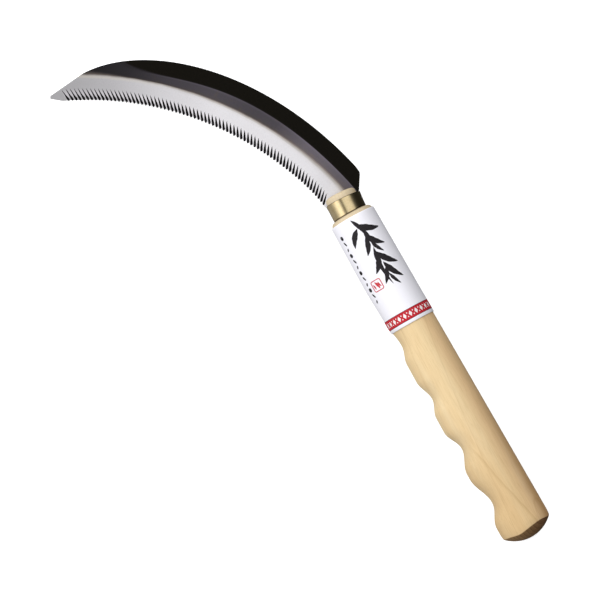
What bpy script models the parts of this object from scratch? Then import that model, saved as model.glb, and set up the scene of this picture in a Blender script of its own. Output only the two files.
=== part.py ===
"""Saw-edged hand sickle: a forged crescent blade with a flat tang, held in the
sawn slot of a turned wooden handle by a brass ferrule and a cross pin, with a
paper sleeve round the upper grip.

Millimetres are used while modelling and scaled to metres at the end.
Modelling axes: +X along the handle from the butt to the blade, +Y towards the
cutting side, +Z out of the blade's ground face. The handle's axis is Y = Z = 0
and the butt's rim is near X = 0.
"""

import math

import bmesh
import bpy
import numpy as np

MM = 0.001

# ------------------------------------------------------------------ handle
BUTT_RADIUS = 14.1          # round section at the butt
HANDLE_TAPER = 0.0102       # loss of radius per mm towards the ferrule
BUTT_RIM_X = 0.9            # where the dome meets the side
BUTT_RIM_RADIUS = 13.7
BUTT_DOME_HEIGHT = 5.75
SHOULDER_START_X = 187.2    # the grip rounds over into the ferrule's seat
SHOULDER_X = 190.35
SHOULDER_RADIUS = 9.9
TENON_RADIUS = 8.6
NOSE_X = 203.0              # end of the wooden nose beyond the ferrule
NOSE_ROUND = 1.9
NOSE_SLANT = 0.05           # the nose is cut a little out of square

# Finger grooves on the cutting side: centre, depth, reach towards the butt,
# reach towards the blade.
FINGER_GROOVES = (
    (20.8, 4.45, 13.0, 16.6),
    (53.4, 4.10, 13.2, 12.0),
    (84.0, 3.00, 10.2, 11.6),
    (115.6, 2.00, 9.6, 13.0),
)
# The last groove runs out in a long shallow easing towards the sleeve.
RELIEF_CENTRE, RELIEF_DEPTH, RELIEF_BACK, RELIEF_FRONT = 128.0, 0.9, 22.0, 26.0
GROOVE_POWER = 2.0          # how quickly a groove fades round the section

# ------------------------------------------------------------- tang and slot
TANG_END_X = 142.0
TANG_ROOT_HALF = 8.1
TANG_END_HALF = 5.4
TANG_TOP_Z = 0.85
TANG_BOTTOM_Z = -0.85
SLOT_END_X = 139.5
SLOT_THICKNESS = 2.6

# -------------------------------------------------------------------- ferrule
FERRULE_START_X = 190.65
FERRULE_END_X = 199.8
FERRULE_RADIUS_START = 9.6
FERRULE_RADIUS_END = 9.9
FERRULE_BORE_RADIUS = 8.9
FERRULE_EDGE = 0.25

# ------------------------------------------------------------------ tang pin
PIN_X = 171.0
PIN_RADIUS = 1.3
PIN_HOLE_RADIUS = 1.6
PIN_HALF_LENGTH = 12.3

# --------------------------------------------------------------- paper sleeve
SLEEVE_START_X = 124.0
SLEEVE_END_X = 188.1
SLEEVE_GAP = 0.3
SLEEVE_THICKNESS = 0.25

# ---------------------------------------------------------------------- blade
BLADE_HALF_THICKNESS = 1.0
BLADE_FOOT_X = 200.1        # the blade's shoulders stand on the ferrule's rim
TIP_LOW = (322.95, 109.49)  # the tip ends in a small blunt cut between these
TIP_HIGH = (324.32, 108.74)
SPINE = ((326.2, 87.4), (325.0, 49.7), (281.7, 1.7), (210.9, -15.0))
SPINE_CORNER_START = (208.7, -15.18)
SPINE_CORNER = (207.45, -15.40)
SPINE_CORNER_END = (206.7, -14.93)
SPINE_FOOT = (200.1, -10.7)
EDGE = ((318.8, 104.3), (286.6, 32.2), (213.9, 10.1), (201.9, 10.0))
HEEL = (200.1, 9.8)
RIDGE = ((322.4, 65.7), (300.4, 60.0), (293.6, 11.8), (200.1, -8.9))
GRIND = ((325.6, 87.6), (283.0, 15.4), (213.0, -2.0), (200.1, -3.7))
GRIND_Z = 0.6               # height of the line where the ground bevel starts
EDGE_THICKNESS = 0.25
TOOTH_COUNT = 73
TOOTH_FIRST = 0.0620        # share of the lower outline where the teeth start
TOOTH_LAST = 0.9921
TOOTH_OUT = 0.4
TOOTH_IN = 0.4
TOOTH_PHASE = 0.5           # place of the gullet within one pitch
NECK_FLAT_X = 205.6         # the ground flat of the reverse side stops here
NECK_STEP_Z = -0.85

SEGMENTS = 36               # sides of the round sections


# ------------------------------------------------------------------- helpers
def start_clean():
    for obj in list(bpy.data.objects):
        bpy.data.objects.remove(obj, do_unlink=True)


def new_collection(name):
    made = bpy.data.collections.new(name)
    bpy.context.scene.collection.children.link(made)
    return made


def material(name, colour, roughness, metallic):
    made = bpy.data.materials.new(name)
    made.use_nodes = True
    shader = made.node_tree.nodes["Principled BSDF"]
    shader.inputs["Base Color"].default_value = (*colour, 1.0)
    shader.inputs["Roughness"].default_value = roughness
    shader.inputs["Metallic"].default_value = metallic
    made.diffuse_color = (*colour, 1.0)
    return made


def evaluated_mesh(obj, name):
    """The object's mesh with its modifiers applied."""
    bpy.context.view_layer.update()
    graph = bpy.context.evaluated_depsgraph_get()
    return bpy.data.meshes.new_from_object(obj.evaluated_get(graph))


def turned(name, profile, closed, home):
    """A solid turned about the X axis from (x, radius) points."""
    mesh = bpy.data.meshes.new(name)
    points = [(x, r, 0.0) for x, r in profile]
    edges = [(i, i + 1) for i in range(len(points) - 1)]
    if closed:
        edges.append((len(points) - 1, 0))
    mesh.from_pydata(points, edges, [])
    guide = bpy.data.objects.new(name + "_guide", mesh)
    home.objects.link(guide)
    screw = guide.modifiers.new("turn", "SCREW")
    screw.axis = "X"
    screw.angle = math.tau
    screw.steps = screw.render_steps = SEGMENTS
    screw.use_merge_vertices = True
    screw.merge_threshold = 1e-5
    solid = evaluated_mesh(guide, name)
    bpy.data.objects.remove(guide, do_unlink=True)
    tidy(solid)
    obj = bpy.data.objects.new(name, solid)
    home.objects.link(obj)
    return obj


def tidy(mesh):
    """Weld the seams and turn every face outwards."""
    work = bmesh.new()
    work.from_mesh(mesh)
    bmesh.ops.remove_doubles(work, verts=work.verts, dist=1e-4)
    bmesh.ops.dissolve_degenerate(work, edges=work.edges, dist=1e-5)
    bmesh.ops.recalc_face_normals(work, faces=work.faces)
    if work.calc_volume(signed=True) < 0:
        bmesh.ops.reverse_faces(work, faces=work.faces)
    work.to_mesh(mesh)
    work.free()


def cut(target, cutter):
    """Take the cutter out of the target, exactly."""
    boolean = target.modifiers.new("cut_" + cutter.name, "BOOLEAN")
    boolean.operation = "DIFFERENCE"
    boolean.solver = "EXACT"
    boolean.object = cutter


def box_cutter(name, low, high, home):
    mesh = bpy.data.meshes.new(name)
    work = bmesh.new()
    bmesh.ops.create_cube(work, size=1.0)
    for vert in work.verts:
        for axis in range(3):
            middle = (low[axis] + high[axis]) / 2
            vert.co[axis] = middle + vert.co[axis] * (high[axis] - low[axis])
    work.to_mesh(mesh)
    work.free()
    return helper(name, mesh, home)


def pin_cutter(name, radius, half_length, home):
    mesh = bpy.data.meshes.new(name)
    work = bmesh.new()
    bmesh.ops.create_cone(
        work, cap_ends=True, segments=20, radius1=radius, radius2=radius, depth=2 * half_length
    )
    for vert in work.verts:
        vert.co.x += PIN_X
    work.to_mesh(mesh)
    work.free()
    return helper(name, mesh, home)


def helper(name, mesh, home):
    obj = bpy.data.objects.new(name, mesh)
    obj.hide_render = True
    obj.display_type = "WIRE"
    home.objects.link(obj)
    return obj


def bezier(points, t):
    p = np.array(points, float)
    t = np.asarray(t, float)[:, None]
    u = 1 - t
    return u**3 * p[0] + 3 * u * u * t * p[1] + 3 * u * t * t * p[2] + t**3 * p[3]


class Rail:
    """A flat line that is read by its share of length, from the tip down."""

    def __init__(self, points):
        points = np.array(points, float)
        keep = np.r_[True, np.hypot(*np.diff(points, axis=0).T) > 1e-6]
        self.points = points[keep]
        self.along = np.r_[0, np.cumsum(np.hypot(*np.diff(self.points, axis=0).T))]
        self.length = self.along[-1]

    def at(self, share):
        d = share * self.length
        return np.array([np.interp(d, self.along, self.points[:, k]) for k in (0, 1)])

    def inward(self, share, towards):
        """Unit normal of the rail on the side of the point towards."""
        a = self.at(max(share - 0.004, 0.0))
        b = self.at(min(share + 0.004, 1.0))
        t = (b - a) / np.hypot(*(b - a))
        n = np.array([-t[1], t[0]])
        return n if n @ (np.asarray(towards) - self.at(share)) > 0 else -n

    def distance(self, point):
        return float(np.hypot(*(self.points - np.asarray(point)).T).min())


def rounded_corner(start, corner, end, count=5):
    t = np.linspace(0, 1, count)[:, None]
    a, b, c = (np.array(p, float) for p in (start, corner, end))
    return (1 - t) ** 2 * a + 2 * (1 - t) * t * b + t * t * c


# ------------------------------------------------------------ handle's shape
def round_radius(x):
    return BUTT_RADIUS - HANDLE_TAPER * x


def hollow(x, centre, back, front):
    """A smooth hollow of depth 1 whose two flanks have their own reach."""
    u = (x - centre) / (back if x < centre else front)
    return math.cos(math.pi * u / 2) ** 2 if abs(u) < 1 else 0.0


def groove_depth(x):
    depth = sum(d * hollow(x, c, back, front) for c, d, back, front in FINGER_GROOVES)
    return depth + RELIEF_DEPTH * hollow(x, RELIEF_CENTRE, RELIEF_BACK, RELIEF_FRONT)


def body_radius(x):
    """Radius of the round section, with the shoulder's rounding."""
    if x > SHOULDER_START_X:
        u = min((x - SHOULDER_START_X) / (SHOULDER_X - SHOULDER_START_X), 1.0)
        top = round_radius(SHOULDER_START_X)
        return SHOULDER_RADIUS + (top - SHOULDER_RADIUS) * math.sqrt(max(1 - u * u, 0.0))
    if x < BUTT_RIM_X + 4:
        u = (x - BUTT_RIM_X) / 4
        full = round_radius(BUTT_RIM_X + 4)
        return full - (full - BUTT_RIM_RADIUS) * (1 - u) ** 2
    return round_radius(x)


def press_fingers(mesh, offset=0.0):
    """Hollow the finger grooves into a turned surface."""
    for vert in mesh.vertices:
        x, y, z = vert.co
        radius = math.hypot(y, z)
        if x > SHOULDER_START_X + 2 or radius < 1e-6:
            continue
        share = max(y / radius, 0.0) ** GROOVE_POWER
        scale = min(radius / (body_radius(max(x, BUTT_RIM_X)) + offset), 1.0)
        depth = groove_depth(x) * share * scale
        vert.co.y = y * (radius - depth) / radius
        vert.co.z = z * (radius - depth) / radius


def handle_profile():
    points = []
    sphere = (BUTT_RIM_RADIUS**2 + BUTT_DOME_HEIGHT**2) / (2 * BUTT_DOME_HEIGHT)
    rim_angle = math.asin(BUTT_RIM_RADIUS / sphere)
    for k in range(7):
        a = rim_angle * k / 6
        points.append((BUTT_RIM_X - BUTT_DOME_HEIGHT + sphere * (1 - math.cos(a)), sphere * math.sin(a)))
    stations = [2.2, 4.9]
    x = 8.0
    while x < SLEEVE_START_X + 4:
        stations.append(x)
        x += 3.0
    while x < SHOULDER_START_X - 1:
        stations.append(x)
        x += 8.0
    stations.append(SHOULDER_START_X)
    points += [(x, body_radius(x)) for x in stations]
    reach = SHOULDER_X - SHOULDER_START_X
    points += [(x, body_radius(x)) for x in (SHOULDER_START_X + reach * s for s in (0.4, 0.75, 0.94, 1.0))]
    points.append((SHOULDER_X, TENON_RADIUS))
    points.append((FERRULE_END_X, TENON_RADIUS))
    for k in range(4):
        a = math.pi / 2 * k / 3
        points.append((
            NOSE_X - NOSE_ROUND + NOSE_ROUND * math.sin(a),
            TENON_RADIUS - NOSE_ROUND * 1.2 * (1 - math.cos(a)),
        ))
    points.append((NOSE_X, 3.0))
    points.append((NOSE_X, 0.0))
    return points


def make_handle(home, cutters):
    handle = turned("handle", handle_profile(), False, home)
    press_fingers(handle.data)
    for vert in handle.data.vertices:
        lift = min(max((vert.co.x - FERRULE_END_X) / (NOSE_X - FERRULE_END_X), 0.0), 1.0)
        vert.co.x += NOSE_SLANT * vert.co.y * lift
    slot = box_cutter(
        "slot_cutter",
        (SLOT_END_X, -20.0, -SLOT_THICKNESS / 2),
        (NOSE_X + 10.0, 20.0, SLOT_THICKNESS / 2),
        cutters,
    )
    hole = pin_cutter("handle_pin_hole_cutter", PIN_HOLE_RADIUS, 20.0, cutters)
    cut(handle, slot)
    cut(handle, hole)
    return handle


# ------------------------------------------------------------- blade's shape
def blade_rails():
    t = np.linspace(0, 1, 161)
    upper = Rail(np.vstack([
        [TIP_HIGH],
        bezier(SPINE, t),
        rounded_corner(SPINE_CORNER_START, SPINE_CORNER, SPINE_CORNER_END),
        [SPINE_FOOT],
    ]))
    lower = Rail(np.vstack([[TIP_LOW], bezier(EDGE, t), [HEEL]]))
    ridge = Rail(bezier(RIDGE, t))
    grind = Rail(bezier(GRIND, t))
    return upper, lower, ridge, grind


def crossing(rail, a, b):
    """Where the section line from a to b crosses a rail, or None."""
    a, b = np.asarray(a), np.asarray(b)
    d = b - a
    side = (rail.points[:, 0] - a[0]) * d[1] - (rail.points[:, 1] - a[1]) * d[0]
    for i in np.nonzero(np.sign(side[:-1]) != np.sign(side[1:]))[0]:
        f = side[i] / (side[i] - side[i + 1])
        p = rail.points[i] + f * (rail.points[i + 1] - rail.points[i])
        s = (p - a) @ d / (d @ d)
        if 0.02 < s < 0.98:
            return p
    return None


def blade_sections():
    """Each section: lower edge, grind line, ridge line and upper edge, in plan."""
    upper, lower, ridge, grind = blade_rails()
    shares = [(0.0, 0.0), (0.012, 0.0), (0.026, 0.0), (0.042, 0.0), (0.052, -0.1)]
    pitch = (TOOTH_LAST - TOOTH_FIRST) / TOOTH_COUNT
    for k in range(TOOTH_COUNT):
        shares.append((TOOTH_FIRST + pitch * k, TOOTH_OUT))
        shares.append((TOOTH_FIRST + pitch * (k + TOOTH_PHASE), -TOOTH_IN))
    shares += [(TOOTH_LAST, TOOTH_OUT * 0.5), (1.0, 0.0)]
    sections = []
    for share, out in shares:
        top = upper.at(share)
        edge = lower.at(share)
        cross = crossing(grind, edge, top)
        line = crossing(ridge, edge, top)
        if share >= 1.0:
            cross, line = np.array(GRIND[-1]), np.array(RIDGE[-1])
        if cross is None:
            cross = top
        if line is None:
            line = top
        inward = lower.inward(share, upper.at(min(share + 0.05, 1.0)))
        sections.append((edge - inward * out, cross, line, top, edge))
    return sections, lower


def make_blade(home, cutters):
    sections, lower = blade_sections()
    half = BLADE_HALF_THICKNESS
    edge_z = -half + EDGE_THICKNESS
    verts, faces, rows = [], [], []

    def ground_z(width, reach):
        """Height of the ground bevel at this distance from the edge."""
        return edge_z + (GRIND_Z - edge_z) * min(width / reach, 1.0)

    for edge, cross, line, top, base in sections:
        reach = max(lower.distance(cross), 0.5)
        bevel_reach = reach if cross is not top else 12.0
        cross_z = GRIND_Z if cross is not top else ground_z(lower.distance(top), bevel_reach)
        if line is not top:
            line_z = top_z = half
        elif cross is not top:
            width = np.hypot(*(top - cross))
            line_z = top_z = min(GRIND_Z + (half - GRIND_Z) * width / 7.5, half)
        else:
            line_z = top_z = cross_z
        row = []
        for point, z in (
            (edge, edge_z), (cross, cross_z), (line, line_z), (top, top_z), (top, -half), (edge, -half),
        ):
            row.append(len(verts))
            verts.append((point[0], point[1], z))
        rows.append(row)
    # The tang goes on below the shoulders as a plain flat bar with a blunt end.
    length = BLADE_FOOT_X - TANG_END_X
    for share in (0.0, 0.35, 0.93, 1.0):
        x = BLADE_FOOT_X - 0.15 - (length - 0.15) * share
        widest = TANG_ROOT_HALF + (TANG_END_HALF - TANG_ROOT_HALF) * min(share / 0.93, 1.0)
        halfway = widest if share < 1.0 else widest - 2.2
        row = []
        for y, z in (
            (halfway, TANG_TOP_Z), (-halfway / 3, TANG_TOP_Z), (-halfway * 0.8, TANG_TOP_Z),
            (-halfway, TANG_TOP_Z), (-halfway, TANG_BOTTOM_Z), (halfway, TANG_BOTTOM_Z),
        ):
            row.append(len(verts))
            verts.append((x, y, z))
        rows.append(row)
    for a, b in zip(rows, rows[1:]):
        for k in range(6):
            faces.append((a[k], a[(k + 1) % 6], b[(k + 1) % 6], b[k]))
    faces.append(tuple(rows[0]))
    faces.append(tuple(reversed(rows[-1])))
    mesh = bpy.data.meshes.new("blade")
    mesh.from_pydata(verts, [], faces)
    tidy(mesh)
    blade = bpy.data.objects.new("blade", mesh)
    home.objects.link(blade)
    neck = box_cutter(
        "neck_cutter", (TANG_END_X + 5.0, -30.0, -5.0), (NECK_FLAT_X, 30.0, NECK_STEP_Z), cutters
    )
    hole = pin_cutter("tang_pin_hole_cutter", PIN_HOLE_RADIUS, 10.0, cutters)
    cut(blade, neck)
    cut(blade, hole)
    return blade


# ------------------------------------------------- ferrule, pin, paper sleeve
def make_ferrule(home):
    a, b, e = FERRULE_START_X, FERRULE_END_X, FERRULE_EDGE
    ra, rb, bore = FERRULE_RADIUS_START, FERRULE_RADIUS_END, FERRULE_BORE_RADIUS
    profile = [
        (a, bore), (b, bore), (b, rb - e * 1.4), (b - e * 0.4, rb - e * 0.4), (b - e * 1.4, rb),
        ((a + b) / 2, (ra + rb) / 2 - 0.08),
        (a + e * 1.4, ra), (a + e * 0.4, ra - e * 0.4), (a, ra - e * 1.4),
    ]
    return turned("ferrule", profile, True, home)


def make_pin(home):
    mesh = bpy.data.meshes.new("tang_pin")
    work = bmesh.new()
    bmesh.ops.create_cone(
        work, cap_ends=True, segments=20, radius1=PIN_RADIUS, radius2=PIN_RADIUS, depth=2 * PIN_HALF_LENGTH
    )
    rims = [e for e in work.edges if abs(abs(e.verts[0].co.z + e.verts[1].co.z) / 2 - PIN_HALF_LENGTH) < 1e-6]
    bmesh.ops.bevel(work, geom=rims, offset=0.25, segments=1, affect="EDGES")
    work.to_mesh(mesh)
    work.free()
    tidy(mesh)
    pin = bpy.data.objects.new("tang_pin", mesh)
    pin.location.x = PIN_X
    home.objects.link(pin)
    return pin


def make_sleeve(home):
    stations = [SLEEVE_START_X]
    x = 128.0
    while x < SLEEVE_END_X - 2:
        stations.append(x)
        x += 4.0 if x < 148 else 8.0
    stations += [SHOULDER_START_X, SLEEVE_END_X]
    inner = [(x, body_radius(x) + SLEEVE_GAP) for x in stations]
    outer = [(x, body_radius(x) + SLEEVE_GAP + SLEEVE_THICKNESS) for x in reversed(stations)]
    sleeve = turned("paper_sleeve", inner + outer, True, home)
    for vert in sleeve.data.vertices:
        x, y, z = vert.co
        radius = math.hypot(y, z)
        depth = groove_depth(x) * max(y / radius, 0.0) ** GROOVE_POWER
        vert.co.y = y * (radius - depth) / radius
        vert.co.z = z * (radius - depth) / radius
    return sleeve


# ---------------------------------------------------------------------- build
def main():
    start_clean()
    parts = new_collection("hand_sickle")
    cutters = new_collection("cutters")
    cutters.hide_render = True

    looks = {
        "blade": ((0.10, 0.095, 0.10), 0.30, 0.9),
        "handle": ((0.78, 0.58, 0.34), 0.55, 0.0),
        "ferrule": ((0.80, 0.62, 0.30), 0.28, 1.0),
        "tang_pin": ((0.55, 0.55, 0.56), 0.4, 1.0),
        "paper_sleeve": ((0.88, 0.88, 0.90), 0.5, 0.0),
    }
    pieces = [
        make_blade(parts, cutters),
        make_handle(parts, cutters),
        make_ferrule(parts),
        make_pin(parts),
        make_sleeve(parts),
    ]
    for piece in pieces:
        piece.data.materials.append(material(piece.name, *looks[piece.name]))
        piece.data.shade_smooth()
        piece.data.set_sharp_from_angle(angle=math.radians(35))

    # Stand the origin at the middle of the object's base, in metres.
    bpy.context.view_layer.update()
    graph = bpy.context.evaluated_depsgraph_get()
    corners = []
    for piece in pieces:
        mesh = piece.evaluated_get(graph).to_mesh()
        corners += [piece.matrix_world @ v.co for v in mesh.vertices]
        piece.evaluated_get(graph).to_mesh_clear()
    corners = np.array([tuple(c) for c in corners])
    low, high = corners.min(0), corners.max(0)
    shift = (-(low[0] + high[0]) / 2, -(low[1] + high[1]) / 2, -low[2])
    frame = bpy.data.objects.new("frame", None)
    parts.objects.link(frame)
    for obj in pieces + list(cutters.objects):
        obj.parent = frame
    frame.scale = (MM, MM, MM)
    frame.location = tuple(s * MM for s in shift)
    bpy.context.view_layer.update()


main()
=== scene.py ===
"""Looks of the saw-edged hand sickle: fine meshes and materials round the
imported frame, a pale studio floor, soft light and the camera.

The shapes are worked out in millimetres on the modelling axes: +X along the
handle from the butt to the blade, +Y towards the cutting side, +Z out of the
blade's ground face. The handle's axis is Y = Z = 0, with the butt's rim near
X = 0. place() takes them into the row frame, from where the tang pin sits.
"""

import math

import bmesh
import bpy
import numpy as np
from mathutils import Matrix, Vector


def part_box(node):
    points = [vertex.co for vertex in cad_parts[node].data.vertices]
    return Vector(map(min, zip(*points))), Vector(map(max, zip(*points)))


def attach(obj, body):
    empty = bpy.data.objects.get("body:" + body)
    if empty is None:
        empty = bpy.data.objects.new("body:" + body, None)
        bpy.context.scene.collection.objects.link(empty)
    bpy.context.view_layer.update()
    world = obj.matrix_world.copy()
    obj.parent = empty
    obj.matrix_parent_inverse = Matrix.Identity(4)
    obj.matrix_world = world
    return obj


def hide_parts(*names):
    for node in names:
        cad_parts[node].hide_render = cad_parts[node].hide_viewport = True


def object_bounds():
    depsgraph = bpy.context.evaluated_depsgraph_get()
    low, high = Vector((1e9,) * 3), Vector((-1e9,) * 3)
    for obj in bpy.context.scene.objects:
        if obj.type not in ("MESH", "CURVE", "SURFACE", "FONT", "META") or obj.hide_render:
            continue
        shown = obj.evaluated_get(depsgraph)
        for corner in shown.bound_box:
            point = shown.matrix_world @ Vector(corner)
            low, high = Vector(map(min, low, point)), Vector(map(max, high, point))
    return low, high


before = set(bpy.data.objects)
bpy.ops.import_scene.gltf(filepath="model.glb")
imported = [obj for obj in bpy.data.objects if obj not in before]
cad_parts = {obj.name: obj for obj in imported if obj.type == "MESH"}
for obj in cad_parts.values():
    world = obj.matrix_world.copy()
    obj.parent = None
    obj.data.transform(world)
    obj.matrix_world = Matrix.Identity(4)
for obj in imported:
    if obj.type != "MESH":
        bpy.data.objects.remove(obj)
CAD_LOW, CAD_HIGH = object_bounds()

# -------------------------------------------------------------------- origin
PIN_X = 171.0
_pin_low, _pin_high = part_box("tang_pin")
ORIGIN = np.array((_pin_low + _pin_high) / 2) - np.array((PIN_X / 1000, 0.0, 0.0))

# ------------------------------------------------- the handle's turned shape
BUTT_RADIUS = 14.1
HANDLE_TAPER = 0.0102
BUTT_RIM_X = 0.9
BUTT_RIM_RADIUS = 13.7
BUTT_DOME_HEIGHT = 5.75
SHOULDER_START_X = 187.2
SHOULDER_X = 190.35
SHOULDER_RADIUS = 9.9
TENON_RADIUS = 8.6
NOSE_X = 203.0
NOSE_ROUND = 1.9
NOSE_SLANT = 0.05
FINGER_GROOVES = (
    (20.8, 4.45, 13.0, 16.6),
    (53.4, 4.10, 13.2, 12.0),
    (84.0, 3.00, 10.2, 11.6),
    (115.6, 2.00, 9.6, 13.0),
)
RELIEF_CENTRE, RELIEF_DEPTH, RELIEF_BACK, RELIEF_FRONT = 128.0, 0.9, 22.0, 26.0
GROOVE_POWER = 2.0
SLOT_END_X = 139.5
SLOT_THICKNESS = 2.6
PIN_HOLE_RADIUS = 1.6

FERRULE_START_X = 190.65
FERRULE_END_X = 199.8
FERRULE_RADIUS_START = 9.6
FERRULE_RADIUS_END = 9.9
FERRULE_BORE_RADIUS = 8.9

SLEEVE_START_X = 124.0
SLEEVE_END_X = 188.1
SLEEVE_GAP = 0.3
SLEEVE_THICKNESS = 0.25

# ----------------------------------------------------------- blade's outlines
TIP_LOW = (322.95, 109.49)
TIP_HIGH = (324.32, 108.74)
SPINE = ((326.2, 87.4), (325.0, 49.7), (281.7, 1.7), (210.9, -15.0))
SPINE_CORNER_START = (208.7, -15.18)
SPINE_CORNER = (207.45, -15.40)
SPINE_CORNER_END = (206.7, -14.93)
SPINE_FOOT = (199.25, -10.2)
EDGE = ((318.8, 104.3), (286.6, 32.2), (213.9, 10.1), (201.9, 10.0))
HEEL = (200.1, 9.8)
RIDGE = ((322.4, 65.7), (300.4, 60.0), (293.6, 11.8), (200.1, -8.9))
GRIND = ((325.6, 87.6), (283.0, 15.4), (213.0, -2.0), (200.1, -3.7))
GRIND_Z = 0.6
HALF = 1.0
EDGE_Z = -0.80
TANG_END_X = 142.0
TANG_ROOT_HALF = 8.1
TANG_END_HALF = 5.4

GROOVES = 74                # saw grooves
GROOVE_FIRST = 0.0620       # share of the lower outline at the first one
GROOVE_LAST = 0.9921

# The grooves were filed by hand: how far one sits from an even spacing, in
# steps, by its number from the tip.
DRIFT_AT = (0, 6, 15, 24, 39, 60, 70, 73)
DRIFT = (0.05, 0.0, -0.14, -0.22, -0.28, -0.345, -0.31, -0.28)

# Along a saw groove, from the outer end (0) to the inner end (1): the reach of
# its dark hollow towards the tip and towards the handle, and its depth.
GROOVE_AT = (0.0, 0.08, 0.18, 0.30, 0.45, 0.62, 0.80, 0.92, 1.0)
REACH_TIP = (0.62, 0.62, 0.65, 0.67, 0.59, 0.47, 0.33, 0.21, 0.06)
REACH_HANDLE = (0.24, 0.56, 0.88, 0.84, 0.68, 0.54, 0.40, 0.24, 0.06)
GROOVE_CUT = (0.11, 0.17, 0.26, 0.36, 0.38, 0.34, 0.22, 0.10, 0.02)
# Which way a groove runs inwards, and how far, by share of the lower outline.
RUN_AT = (0.06, 0.25, 0.50, 0.75, 0.99)
RUN_X = (7.1, 6.0, 4.9, 4.5, 4.1)
RUN_Y = (0.55, -0.6, -1.9, -3.0, -4.2)


# ------------------------------------------------------------------- helpers
def place(points):
    return np.asarray(points, float) * 0.001 + ORIGIN


def build(name, verts, faces, sharp=None, attributes=None, weld=1e-7):
    """A mesh object from points in modelling millimetres."""
    mesh = bpy.data.meshes.new(name)
    mesh.from_pydata([tuple(p) for p in place(verts)], [], faces)
    for key, values in (attributes or {}).items():
        made = mesh.attributes.new(key, "FLOAT", "POINT")
        made.data.foreach_set("value", np.asarray(values, np.float32))
    work = bmesh.new()
    work.from_mesh(mesh)
    bmesh.ops.remove_doubles(work, verts=work.verts, dist=weld)
    bmesh.ops.dissolve_degenerate(work, edges=work.edges, dist=weld)
    bmesh.ops.recalc_face_normals(work, faces=work.faces)
    if work.calc_volume(signed=True) < 0:
        bmesh.ops.reverse_faces(work, faces=work.faces)
    work.to_mesh(mesh)
    work.free()
    obj = bpy.data.objects.new(name, mesh)
    bpy.context.scene.collection.objects.link(obj)
    shade(obj, sharp)
    return obj


def shade(obj, sharp):
    obj.data.shade_smooth()
    if sharp is not None:
        obj.data.set_sharp_from_angle(angle=math.radians(sharp))


def bezier(points, t):
    p = np.array(points, float)
    t = np.asarray(t, float)[:, None]
    u = 1 - t
    return u**3 * p[0] + 3 * u * u * t * p[1] + 3 * u * t * t * p[2] + t**3 * p[3]


def cut_away(obj, low=None, high=None, pin=None, sharp=None):
    """Takes a box or a cross hole out of the object, for good."""
    work = bmesh.new()
    if pin:
        radius, half = pin
        bmesh.ops.create_cone(work, cap_ends=True, segments=48, radius1=radius, radius2=radius, depth=2 * half)
        for vert in work.verts:
            vert.co.x += PIN_X
    else:
        bmesh.ops.create_cube(work, size=1.0)
        for vert in work.verts:
            for axis in range(3):
                vert.co[axis] = (low[axis] + high[axis]) / 2 + vert.co[axis] * (high[axis] - low[axis])
    for vert in work.verts:
        vert.co = Vector(place(vert.co))
    mesh = bpy.data.meshes.new("cutter")
    work.to_mesh(mesh)
    work.free()
    cutter = bpy.data.objects.new("cutter", mesh)
    bpy.context.scene.collection.objects.link(cutter)
    step = obj.modifiers.new("cut", "BOOLEAN")
    step.operation = "DIFFERENCE"
    step.solver = "EXACT"
    step.object = cutter
    bpy.context.view_layer.update()
    graph = bpy.context.evaluated_depsgraph_get()
    done = bpy.data.meshes.new_from_object(obj.evaluated_get(graph))
    obj.modifiers.clear()
    if len(done.polygons) > 0.5 * len(obj.data.polygons):
        obj.data = done
    bpy.data.objects.remove(cutter, do_unlink=True)
    shade(obj, sharp)


# ------------------------------------------------------------ handle's shape
def round_radius(x):
    return BUTT_RADIUS - HANDLE_TAPER * x


def hollow(x, centre, back, front):
    u = (x - centre) / (back if x < centre else front)
    return math.cos(math.pi * u / 2) ** 2 if abs(u) < 1 else 0.0


def groove_depth(x):
    depth = sum(d * hollow(x, c, back, front) for c, d, back, front in FINGER_GROOVES)
    return depth + RELIEF_DEPTH * hollow(x, RELIEF_CENTRE, RELIEF_BACK, RELIEF_FRONT)


def body_radius(x):
    if x > SHOULDER_START_X:
        u = min((x - SHOULDER_START_X) / (SHOULDER_X - SHOULDER_START_X), 1.0)
        top = round_radius(SHOULDER_START_X)
        return SHOULDER_RADIUS + (top - SHOULDER_RADIUS) * math.sqrt(max(1 - u * u, 0.0))
    if x < BUTT_RIM_X + 4:
        u = (x - BUTT_RIM_X) / 4
        full = round_radius(BUTT_RIM_X + 4)
        return full - (full - BUTT_RIM_RADIUS) * (1 - u) ** 2
    return round_radius(x)


def pressed(x, radius, theta, offset=0.0):
    """Radius at (x, theta) once the finger grooves are hollowed out. Theta is
    measured from +Y towards +Z."""
    if x > SHOULDER_START_X + 2 or radius < 1e-6:
        return radius
    share = max(math.cos(theta), 0.0) ** GROOVE_POWER
    scale = min(radius / (body_radius(max(x, BUTT_RIM_X)) + offset), 1.0)
    return radius - groove_depth(x) * share * scale


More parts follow.
